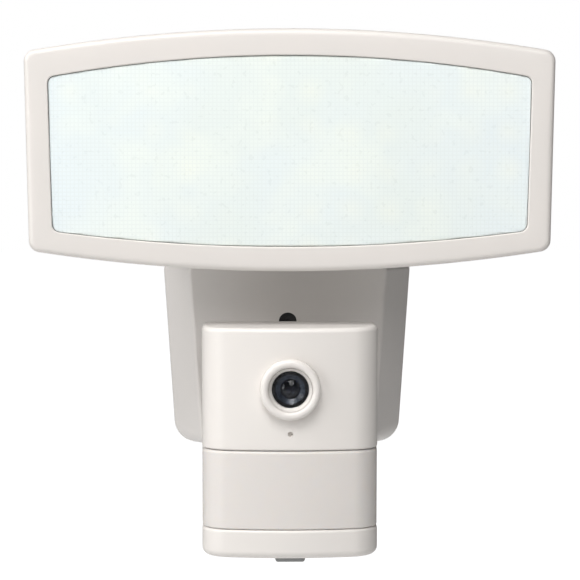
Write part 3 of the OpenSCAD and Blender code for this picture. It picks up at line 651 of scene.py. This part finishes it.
# Carried-over nodes: a small bevel gives their edges a highlight
slot_of = {s["node"]: s["material_slot"] for s in frame["record"]["subparts"]}
for node_name, node in nodes.items():
    node.data.materials.clear()
    node.data.materials.append(FINISHES[slot_of[node_name]])
    node.data.shade_smooth()
    weld = node.modifiers.new("weld", "WELD")
    weld.merge_threshold = 0.002 * MM
    edges_eased(node, 0.25, 2, 32, keep=True)
    node.modifiers.new("normals", "WEIGHTED_NORMAL")


# ---------- light head ----------

head_outline = crowned_outline(HEAD_TOP, HEAD_BOTTOM, HEAD_CORNER)
window_outline = crowned_outline(WINDOW_TOP, WINDOW_BOTTOM, WINDOW_CORNER)


def head_bezel():
    middle = (facing(head_outline, HEAD_FRONT, 4) + facing(window_outline, HEAD_FRONT, -2)) / 2
    seat = LENS_FRONT - 0.02
    rings = softened([
        facing(head_outline, BEZEL_BACK, WALL),
        facing(head_outline, BEZEL_BACK),
        facing(head_outline, HEAD_FRONT + 0.15),
        middle,
        facing(window_outline, HEAD_FRONT + 0.1),
        facing(window_outline, seat),
        facing(head_outline, seat, WALL),
    ], (0, 0.6, 3.6, 2, 0.9, 0, 0), steps=7)
    piece(loft("head_bezel_moulding", rings, wrap=True), "light_head", "head_plastic", "head_bezel", sharp=30)


def pillow_grid():
    """The lens pane's points, their places in the pattern (even ones are grooves), and its faces.

    The pattern is a square grid, and what lies past the window's rim is drawn back onto it.
    """
    edge_drop = 0.3
    rim = facing(window_outline, 0, 0.25)[:, (0, 2)]
    along = np.roll(rim, -1, 0) - rim
    inward = np.stack([along[:, 1], -along[:, 0]], 1)
    inward /= np.linalg.norm(inward, axis=1, keepdims=True)
    nx, nz = (math.ceil(half / PILLOW) for half in (np.ptp(rim[:, 0]) / 2, np.ptp(rim[:, 1]) / 2))
    across, up = np.arange(-2 * nx, 2 * nx + 1), np.arange(-2 * nz, 2 * nz + 1)
    i, j = (g.ravel() for g in np.meshgrid(across, up, indexing="ij"))
    spot = np.stack([i * PILLOW / 2, PANEL_MID_Z + j * PILLOW / 2], 1)
    beyond = -((spot[:, None] - rim) * inward).sum(2)
    nearest, far = beyond.argmax(1), beyond.max(1)
    spot += np.clip(far, 0, None)[:, None] * inward[nearest]
    depth = PANE_FRONT + PILLOW_RELIEF * ((i % 2 == 0) | (j % 2 == 0)) + edge_drop * (far >= 0)
    rows = len(up)
    faces = [(c * rows + k, (c + 1) * rows + k, (c + 1) * rows + k + 1, c * rows + k + 1)
             for c in range(len(across) - 1) for k in range(rows - 1)]
    faces = [f for f in faces if far[list(f)].min() < -0.05]
    used = sorted({v for f in faces for v in f})
    new = {v: n for n, v in enumerate(used)}
    points = np.stack([spot[:, 0], depth, spot[:, 1]], 1)
    return points[used], np.stack([i, j], 1)[used], [tuple(new[v] for v in f) for f in faces]


def head_lens():
    """A pane with a square pattern of shallow pillows; the grooves between them stay crisp."""
    points, steps, faces = pillow_grid()
    obj = raw_object("head_lens_patterned", points, faces)
    mesh = obj.data
    if mesh.polygons[0].normal.y > 0:
        mesh.flip_normals()
    groove = [bool((steps[list(e.vertices)] % 2 == 0).all(0).any()) for e in mesh.edges]
    mesh.materials.append(FINISHES["prismatic_lens"])
    mesh.shade_smooth()
    mesh.attributes.new("sharp_edge", "BOOLEAN", "EDGE").data.foreach_set("value", groove)
    m = obj.modifiers.new("plate", "SOLIDIFY")
    m.thickness, m.offset = (LENS_BACK - PANE_FRONT - PILLOW_RELIEF) * MM, -1
    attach(obj, "light_head")
    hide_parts("head_lens")


def head_edges(inset):
    """The head's top and bottom edges, moved in."""
    (top_half, top_z, crown), (low_half, low_z, drop) = HEAD_TOP, HEAD_BOTTOM
    return (top_half - inset, top_z - inset, crown), (low_half - inset, low_z + inset, drop)


def cooling_fin(x, z0, z1):
    """An upright fin from z0 to z1, thinner at its edge, with rounded back corners."""
    root = FLOOR_BACK - FIN_SUNK
    lean = 1.5
    outline = rounded([(root, z0), (FIN_BACK, z0 + lean), (FIN_BACK, z1 - lean), (root, z1)], 5, 5)
    half = [FIN_ROOT if y < FLOOR_BACK + 2 else FIN_TIP for y, _ in outline]
    sides = [np.array([(x + side * h, y, z) for (y, z), h in zip(outline, half)]) for side in (-1, 1)]
    return edges_eased(loft("fin", sides, caps="both"), 0.35, 2, 40)


def head_housing():
    """Cast rear housing: a flange, a stepped body, a raised pad and cooling fins."""
    least_corner = 3
    rings = softened([
        facing(crowned_outline(*head_edges(inset), max(HEAD_CORNER - inset, least_corner)), y)
        for y, inset in ((FLOOR_FRONT, STEP_IN + HOUSING_WALL), (HOUSING_FRONT, STEP_IN + HOUSING_WALL),
                         (HOUSING_FRONT, FLANGE_IN), (FLANGE_BACK, FLANGE_IN), (FLANGE_BACK, STEP_IN),
                         (FLOOR_BACK, STEP_IN), (FLOOR_BACK, STEP_IN + 6))
    ], (0, 0.3, 0.3, 0.7, 1.2, 2.6, 0), steps=4)
    body = loft("head_housing_casting", rings, caps="both")
    margin = STEP_IN + 4

    def edge(x, line, up):
        """Height where a fin at x ends, short of the head's top or bottom edge."""
        half, z, rise = line
        return z + up * (rise * (1 - (x / half) ** 2) - margin)

    fins = []
    for x in [side * (FIN_FIRST + FIN_PITCH * i) for side in (-1, 1) for i in range(FINS_EACH_SIDE)]:
        fins.append(cooling_fin(x, edge(x, HEAD_BOTTOM, -1), edge(x, HEAD_TOP, 1)))
    fins += [cooling_fin(x, AXIS_Z + PAD_RISE + 3, edge(x, HEAD_TOP, 1)) for x in SHORT_FINS]
    pad = block("pad", (-PAD_HALF, FLOOR_BACK - FIN_SUNK, AXIS_Z - PAD_RISE),
                (PAD_HALF, PAD_BACK, AXIS_Z + PAD_RISE))
    edges_eased(pad, 1.0, 3)
    piece(joined(body, fins + [pad]), "light_head", "cast_housing", "head_housing")


# ---------- base ----------

def base_shell():
    """Wedge-sided casing with the fixing screw's tube behind its front."""
    base, panel = circles_outline(BASE_CIRCLES), circles_outline(PANEL_CIRCLES)
    rings = softened([
        facing(base, BASE_BACK),
        facing(base, SHOULDER),
        facing(panel, BASE_FRONT),
        facing(panel, BASE_FRONT, 2.9),
    ], (0, 2.2, 2.0, 0), steps=8)
    skin = thickened(loft("base_casing", rings, caps="last"), WALL)
    edges_eased(skin, 0.3, 2, 60)
    cut(skin, [rod_y(FIXING_R, BASE_FRONT - 3, BASE_FRONT + 14, 0, FIXING_Z)])
    front, outer = BASE_FRONT + 1.2, FIXING_R + TUBE_WALL
    tube = lathe("tube", [(outer, front), (outer, SEAT_BACK), (SCREW_R, SEAT_BACK), (SCREW_R, SEAT_FRONT),
                          (FIXING_R, SEAT_FRONT), (FIXING_R, front)], FIXING_Z, segments=64)
    piece(joined(skin, [tube]), "root", "base_plastic", "base_shell", sharp=34)


def fixing_plug():
    """Rubber plug with a dished middle."""
    r, dish_r, dish = FIXING_R - 0.1, 1.5, PLUG_FRONT + PLUG_DISH
    profile = rounded([(PINHOLE, dish), (dish_r, dish), (dish_r, PLUG_FRONT), (r, PLUG_FRONT), (r, PLUG_BACK),
                       (PINHOLE, PLUG_BACK)], 0.35, 3, closed=False)
    piece(lathe("fixing_plug_rubber", profile, FIXING_Z, wrap=False, segments=64), "root", "rubber_black",
          "fixing_screw_plug")


# ---------- camera unit ----------

def fillet_rows(z_edge, r, way, steps=8, inset=0.0):
    """Rows of (z, inset) round an edge at z_edge; way is 1 at a top edge, -1 at a bottom one."""
    return [(z_edge - way * r * (1 - math.sin(a)), inset + r * (1 - math.cos(a)))
            for a in np.linspace(0, math.pi / 2, steps + 1)]


def half_shell(name, path, z_low):
    """Half of the upper casing, from z_low up to its flat top."""
    low_edge, high_edge = fillet_rows(z_low, 1.0, -1, 5)[::-1], fillet_rows(CAM_TOP, 2.4, 1)
    rows = low_edge + [(z, 0) for z in np.linspace(low_edge[-1][0], high_edge[0][0], 26)[1:-1]] + high_edge
    obj = loft(name, [level(path, z, inset) for z, inset in rows], closed=False, caps="last")
    return edges_eased(thickened(obj, CAM_WALL), 0.35, 2, 55)


def camera_front_shell():
    """Front half with the lens bore, the ring's recess and the microphone's hole."""
    obj = half_shell("camera_front_moulding", camera_front_path(), SEAM_Z)
    before = CAM_FRONT - 3
    cut(obj, [rod_y(BORE_R, before, CAM_SPLIT - 10, 0, OPTIC_Z, 96),
              rod_y(RECESS_R, before, RECESS_BACK, 0, OPTIC_Z, 96),
              rod_y(MIC_R, before, CAM_FRONT + MIC_DEPTH, 0, MIC_Z, 48)])
    piece(obj, "camera_unit", "camera_plastic", "camera_front_shell", sharp=34)


def camera_rear_shell():
    """Rear half with the tilt tongue's pocket, screw counterbores and the speaker's holes."""
    obj = half_shell("camera_rear_moulding", camera_rear_path(CAM_SPLIT + PART_GAP), CAP_Z + PART_GAP)
    behind = CAM_BACK + 1
    cutters = [block("cutter", *TONGUE_SLOT)]
    cutters += [rod_y(SCREW_HEAD_R, CAM_BACK - 1.2, behind, x, z, 48) for x in (-35, 35) for z in (-32, 13)]
    for r in (4, 8):
        for a in np.radians(range(0, 360, 60)):
            cutters.append(rod_y(0.9, CAM_BACK - 4, behind, r * math.cos(a), PIR_Z + r * math.sin(a), 24))
    cut(obj, cutters)
    pocket = cut(block("pocket", *POCKET), [block("cutter", *TONGUE_SLOT)])
    piece(joined(obj, [pocket]), "camera_unit", "camera_plastic", "camera_rear_shell", sharp=34)


def sensor_window():
    rows = fillet_rows(CAP_Z + PART_GAP, 0.9, -1, 5, 0.25)[::-1]
    rows += fillet_rows(SEAM_Z - PART_GAP, 2.0, 1, 8, 0.15)
    rings = [level(camera_front_path(), z, inset) for z, inset in rows]
    obj = thickened(loft("sensor_window_milky", rings, closed=False), WINDOW_WALL)
    piece(obj, "camera_unit", "sensor_window", "pir_lens", sharp=50)


def bottom_cap():
    """Hollow cap with the service cover's opening and two screw counterbores."""
    front, rear = camera_front_path(), camera_rear_path(CAM_SPLIT)
    path = [np.concatenate([f[:-1], r[:-1]]) for f, r in zip(front, rear)]
    rows = [(-92.3, 4.5), (-84, CAM_WALL), (CAP_Z, CAM_WALL)]
    rows += fillet_rows(CAP_Z, 1.8, 1)[::-1] + fillet_rows(CAM_BOTTOM, 4.0, -1, 9)
    obj = loft("bottom_cap_moulding", [level(path, z, inset) for z, inset in rows], caps="both")
    below = CAM_BOTTOM - 1
    x, card_x = COVER_X + 0.2, PLUG_X + COVER_GAP
    cut(obj, [block("cutter", (-x, COVER_FRONT - COVER_GAP, below),
                    (x, COVER_BACK + HINGE_GAP, CAM_BOTTOM + COVER_T + 0.1)),
              block("cutter", (-card_x, CARD_PLUG_FRONT - 0.5, below), (card_x, CARD_PLUG_BACK + 0.5, -90)),
              *[rod_z(SCREW_HEAD_R, below, CAM_BOTTOM + 1.4, side * 34, -100) for side in (-1, 1)]])
    piece(obj, "camera_unit", "camera_plastic", "bottom_cap", sharp=34)


def service_cover():
    """Rubber plate with a plug on its inside and a pull tab on its outside."""
    plate = block("service_cover_rubber", (-COVER_X, COVER_FRONT, CAM_BOTTOM),
                  (COVER_X, COVER_BACK, CAM_BOTTOM + COVER_T))
    plug = block("plug", (-PLUG_X, CARD_PLUG_FRONT, CAM_BOTTOM + 1),
                 (PLUG_X, CARD_PLUG_BACK, CAM_BOTTOM + 2 * COVER_T))
    corners = ((-1, -1), (1, -1), (1, 1), (-1, 1))
    sizes = (8, 5.5, CAM_BOTTOM + 0.2), (7.2, 4.6, CAM_BOTTOM - 2.6)
    rings = [np.array([(i * w, TAB_Y + j * d, z) for i, j in corners]) for w, d, z in sizes]
    tab = loft("tab", rings, caps="both")
    edges_eased(plate, 0.5, 3)
    edges_eased(plug, 0.4, 3)
    edges_eased(tab, 0.9, 4)
    piece(joined(plate, [plug, tab]), "service_cover", "rubber_grey", "service_cover", sharp=50)


def optics():
    """Everything round the optical axis, each a profile of (radius, y)."""
    crown = arc((RING_R - RING_CREST, RING_FRONT + RING_CREST), RING_CREST, 0, -180, 20)[0]
    seat, hole = -120.95, 11.1
    ring = [(RING_R, seat), *crown, (hole, -124.2), (hole, seat)]
    cone = rounded([(9.5, -122.8), (10.9, -125.3), (11.0, -125.3), (11.0, -119.4), (9.4, -119.4)], 0.25, 3)
    barrel = rounded([
        (9.3, -121.3), (7.8, -121.2), (7.6, -120.9), (5.1, -119.3), (4.9, -118.9), (5.6, -118.6),
        (5.6, -117.3), (4.0, -117.0), (4.0, -106.6), (6.0, -106.6), (6.0, -118.2), (9.3, -118.2)], 0.15, 2)
    dome_r, dome_y = 9.2, -111.2
    dome = [(dome_r * math.sin(a), dome_y - dome_r * math.cos(a)) for a in np.linspace(0.002, 0.64, 16)]
    lens = dome + [(5.5, -117.1), (PINHOLE, -117.1)]
    pane = [(PINHOLE, -122.6), (9.3, -122.6), (9.3, -121.4), (PINHOLE, -121.4)]
    pane = rounded(pane, 0.15, 2, closed=False)
    for name, profile, wrap, slot, node_name, sharp in (
            ("lens_ring_outer", ring, True, "camera_plastic", "lens_ring", 50),
            ("lens_ring_cone", cone, True, "camera_plastic", "lens_inner_ring", 50),
            ("lens_barrel_black", barrel, True, "lens_black", "lens_barrel", 40),
            ("lens_element_glass", lens, False, "lens_glass", "lens_element", 40),
            ("lens_window_glass", pane, False, "glass_clear", "lens_window", 40)):
        piece(lathe(name, profile, wrap=wrap), "camera_unit", slot, node_name, sharp)


for build in (head_bezel, head_lens, head_housing, base_shell, fixing_plug, camera_front_shell,
              camera_rear_shell, sensor_window, bottom_cap, service_cover, optics):
    build()


# ---------- camera, floor and light ----------

def looking_along(way):
    return way.to_track_quat("-Z", "Y")


def from_angles(azimuth, elevation):
    """Unit vector towards a place round the object; azimuth 0 is in front, positive to the right."""
    a, e = math.radians(azimuth), math.radians(elevation)
    return Vector((math.sin(a) * math.cos(e), -math.cos(a) * math.cos(e), math.sin(e)))


def set_up(data, way, distance):
    """Puts a camera or a light at a distance from the target, facing it."""
    obj = bpy.data.objects.new(data.name, data)
    obj.rotation_mode = "QUATERNION"
    obj.location, obj.rotation_quaternion = Vector(TARGET) + distance * way, looking_along(-way)
    bpy.context.scene.collection.objects.link(obj)
    return obj


lens = bpy.data.cameras.new("camera")
lens.lens, lens.sensor_width = 156.1, 36
lens.clip_start, lens.clip_end = 0.05, 50
bpy.context.scene.camera = set_up(lens, from_angles(VIEW_AZIMUTH, VIEW_ELEVATION), VIEW_DISTANCE)

for name, azimuth, elevation, watts, size in (
        ("key_high", -15, 55, 16.3, 0.8),
        ("side_low", -50, 5, 4.2, 0.8),
        ("side_near", -65, 30, 6.4, 0.8),
        ("side_high", -75, 55, 2.2, 0.8),
        ("side_far", -90, 30, 3.9, 0.8),
        ("fill", 10, 30, 5.4, 0.8),
        ("fill_low", 10, 5, 0.3, 0.8),
        ("fill_high", 15, 55, 1.2, 0.8),
        ("back", 180, 4, 9, 0.25)):
    softbox = bpy.data.lights.new(name, "AREA")
    softbox.shape, softbox.size, softbox.energy = "DISK", size, watts
    set_up(softbox, from_angles(azimuth, elevation), LIGHT_DISTANCE)

world = bpy.data.worlds.new("studio")
bpy.context.scene.world = world
world.use_nodes = True
tree = world.node_tree
ambient = tree.nodes["Background"]
ambient.inputs["Color"].default_value, ambient.inputs["Strength"].default_value = (1, 1, 1, 1), 0.02
seen = tree.nodes.new("ShaderNodeBackground")
seen.inputs["Color"].default_value = (1, 1, 1, 1)
ray, mix = tree.nodes.new("ShaderNodeLightPath"), tree.nodes.new("ShaderNodeMixShader")
tree.links.new(ray.outputs["Is Camera Ray"], mix.inputs[0])
tree.links.new(ambient.outputs[0], mix.inputs[1])
tree.links.new(seen.outputs[0], mix.inputs[2])
tree.links.new(mix.outputs[0], tree.nodes["World Output"].inputs["Surface"])

floor = loft("floor", [np.array([(x, y, FLOOR_Z) for x in (-6000.0, 6000.0)]) for y in (-4000.0, 8000.0)],
             closed=False)
pale = Finish("pale_floor", (0.86, 0.86, 0.86), 0.8)
pale.tint(pale.spread(pale.noise(400, 2), 0, 1), (0.84, 0.84, 0.84), 0.5)
pale.shader.inputs["Emission Color"].default_value = (1, 1, 1, 1)
# Plain white to the camera, and a soft bounce of light to the object
seen_or_lit = pale.tree.nodes.new("ShaderNodeMapRange")
seen_or_lit.inputs["To Min"].default_value, seen_or_lit.inputs["To Max"].default_value = 0.08, 1.0
pale.link(pale.tree.nodes.new("ShaderNodeLightPath").outputs["Is Camera Ray"], seen_or_lit, "Value")
pale.link(seen_or_lit.outputs["Result"], pale.shader, "Emission Strength")
floor.data.materials.append(pale.material)

bpy.context.scene.view_settings.view_transform = "Standard"
bpy.context.scene.view_settings.look = "None"
